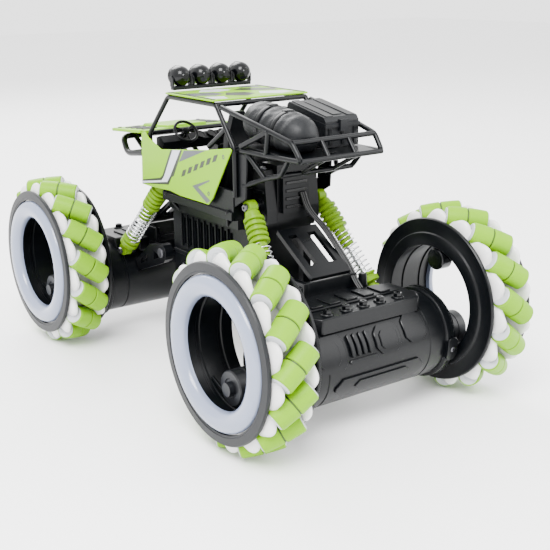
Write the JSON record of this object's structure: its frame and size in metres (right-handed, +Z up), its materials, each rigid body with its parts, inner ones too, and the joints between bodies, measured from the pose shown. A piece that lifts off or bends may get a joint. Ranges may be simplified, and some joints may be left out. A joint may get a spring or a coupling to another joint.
{
  "type": "toy crawler car",
  "caption": "Radio-controlled crawler toy: open cage body on four coil-spring shocks, swinging axles, and hollow wheels rimmed with angled rollers around pale light rings.",
  "frame": {"origin": "centre of the bounding box's bottom face, on the ground between the four wheels", "axes": "+Z up, front faces -Y, +X is the car's left side"},
  "size_m": [0.203, 0.3554, 0.2009],
  "materials": {
    "roller_rubber": "satin",
    "white_plastic": "gloss",
    "grey_plastic": "satin",
    "light_diffuser": "gloss",
    "dark_metal": "satin",
    "spring_steel": "polished",
    "shock_green": "satin",
    "lime_body": "gloss",
    "black_plastic": "satin"
  },
  "bodies": {
    "chassis": {"cab_floor": "black_plastic", "cargo_bag": "black_plastic", "cargo_box": "black_plastic", "chassis_deck": "black_plastic", "chassis_tub": "black_plastic", "dashboard": "black_plastic", "door_left": "lime_body", "door_right": "lime_body", "electronics_box": "black_plastic", "front_bumper": "black_plastic", "hood_panel": "lime_body", "lamp_bar": "black_plastic", "rear_rack": "black_plastic", "roll_cage": "black_plastic", "roof_panel": "lime_body", "seat_left": "black_plastic", "seat_right": "black_plastic", "steering_wheel": "black_plastic"},
    "front_axle": {"axle_housing_front": "black_plastic", "link_arm_front": "black_plastic", "hub_drum_fl": "black_plastic", "light_ring_fl": "light_diffuser", "hub_motor_fl": "dark_metal", "hub_drum_fr": "black_plastic", "light_ring_fr": "light_diffuser", "hub_motor_fr": "dark_metal"},
    "rear_axle": {"axle_housing_rear": "black_plastic", "link_arm_rear": "black_plastic", "hub_drum_rl": "black_plastic", "light_ring_rl": "light_diffuser", "hub_motor_rl": "dark_metal", "hub_drum_rr": "black_plastic", "light_ring_rr": "light_diffuser", "hub_motor_rr": "dark_metal"},
    "wheel_fl": {"roller_carrier_fl": "white_plastic", "roller_set_fl": "roller_rubber", "rim_ring_fl": "grey_plastic"},
    "shock_upper_fl": {"shock_body_fl": "shock_green", "shock_spring_fl": "spring_steel"},
    "shock_lower_fl": {"shock_rod_fl": "shock_green"},
    "wheel_fr": {"roller_carrier_fr": "white_plastic", "roller_set_fr": "roller_rubber", "rim_ring_fr": "grey_plastic"},
    "shock_upper_fr": {"shock_body_fr": "shock_green", "shock_spring_fr": "spring_steel"},
    "shock_lower_fr": {"shock_rod_fr": "shock_green"},
    "wheel_rl": {"roller_carrier_rl": "white_plastic", "roller_set_rl": "roller_rubber", "rim_ring_rl": "grey_plastic"},
    "shock_upper_rl": {"shock_body_rl": "shock_green", "shock_spring_rl": "spring_steel"},
    "shock_lower_rl": {"shock_rod_rl": "shock_green"},
    "wheel_rr": {"roller_carrier_rr": "white_plastic", "roller_set_rr": "roller_rubber", "rim_ring_rr": "grey_plastic"},
    "shock_upper_rr": {"shock_body_rr": "shock_green", "shock_spring_rr": "spring_steel"},
    "shock_lower_rr": {"shock_rod_rr": "shock_green"}
  },
  "joints": [
    {"name": "rear_axle_swing", "type": "hinge", "parent": "chassis", "child": "rear_axle", "pos_m": [0, 0.052, 0.07], "axis": [1, 0, 0], "range_deg": [0, 7], "stiffness_Nm_per_rad": 1.6, "springref_deg": -28.65},
    {"name": "front_axle_swing", "type": "hinge", "parent": "chassis", "child": "front_axle", "pos_m": [0, -0.052, 0.07], "axis": [-1, 0, 0], "range_deg": [0, 7], "stiffness_Nm_per_rad": 1.6, "springref_deg": -28.65},
    {"name": "shock_tilt_fl", "type": "hinge", "parent": "chassis", "child": "shock_upper_fl", "pos_m": [0.027, -0.052, 0.1207], "axis": [-0.9726, -0.2323, -0.0127], "range_deg": [0, 3.08]},
    {"name": "shock_stroke_fl", "type": "slide", "parent": "shock_upper_fl", "child": "shock_lower_fl", "axis": [-0.1544, 0.6038, 0.7821], "range_m": [0, 0.00398], "deforming": ["shock_spring_fl"]},
    {"name": "wheel_spin_fl", "type": "hinge", "parent": "front_axle", "child": "wheel_fl", "pos_m": [0.0823, -0.118, 0.06], "axis": [1, 0, 0], "continuous": true},
    {"name": "shock_tilt_fr", "type": "hinge", "parent": "chassis", "child": "shock_upper_fr", "pos_m": [-0.027, -0.052, 0.1207], "axis": [-0.9726, 0.2323, 0.0127], "range_deg": [0, 3.08]},
    {"name": "shock_stroke_fr", "type": "slide", "parent": "shock_upper_fr", "child": "shock_lower_fr", "axis": [0.1544, 0.6038, 0.7821], "range_m": [0, 0.00398], "deforming": ["shock_spring_fr"]},
    {"name": "wheel_spin_fr", "type": "hinge", "parent": "front_axle", "child": "wheel_fr", "pos_m": [-0.0823, -0.118, 0.06], "axis": [1, 0, 0], "continuous": true},
    {"name": "shock_tilt_rl", "type": "hinge", "parent": "chassis", "child": "shock_upper_rl", "pos_m": [0.027, 0.052, 0.1207], "axis": [0.9726, -0.2323, 0.0127], "range_deg": [0, 3.08]},
    {"name": "shock_stroke_rl", "type": "slide", "parent": "shock_upper_rl", "child": "shock_lower_rl", "axis": [-0.1544, -0.6038, 0.7821], "range_m": [0, 0.00398], "deforming": ["shock_spring_rl"]},
    {"name": "wheel_spin_rl", "type": "hinge", "parent": "rear_axle", "child": "wheel_rl", "pos_m": [0.0823, 0.118, 0.06], "axis": [1, 0, 0], "continuous": true},
    {"name": "shock_tilt_rr", "type": "hinge", "parent": "chassis", "child": "shock_upper_rr", "pos_m": [-0.027, 0.052, 0.1207], "axis": [0.9726, 0.2323, -0.0127], "range_deg": [0, 3.08]},
    {"name": "shock_stroke_rr", "type": "slide", "parent": "shock_upper_rr", "child": "shock_lower_rr", "axis": [0.1544, -0.6038, 0.7821], "range_m": [0, 0.00398], "deforming": ["shock_spring_rr"]},
    {"name": "wheel_spin_rr", "type": "hinge", "parent": "rear_axle", "child": "wheel_rr", "pos_m": [-0.0823, 0.118, 0.06], "axis": [1, 0, 0], "continuous": true}
  ],
  "couplings": [
    {"joint": "shock_tilt_fl", "follows": "front_axle_swing", "ratio": 0.42653},
    {"joint": "shock_stroke_fl", "follows": "front_axle_swing", "m_per_rad": 0.031608},
    {"joint": "shock_tilt_fr", "follows": "front_axle_swing", "ratio": 0.42653},
    {"joint": "shock_stroke_fr", "follows": "front_axle_swing", "m_per_rad": 0.031608},
    {"joint": "shock_tilt_rl", "follows": "rear_axle_swing", "ratio": 0.42653},
    {"joint": "shock_stroke_rl", "follows": "rear_axle_swing", "m_per_rad": 0.031608},
    {"joint": "shock_tilt_rr", "follows": "rear_axle_swing", "ratio": 0.42653},
    {"joint": "shock_stroke_rr", "follows": "rear_axle_swing", "m_per_rad": 0.031608}
  ]
}
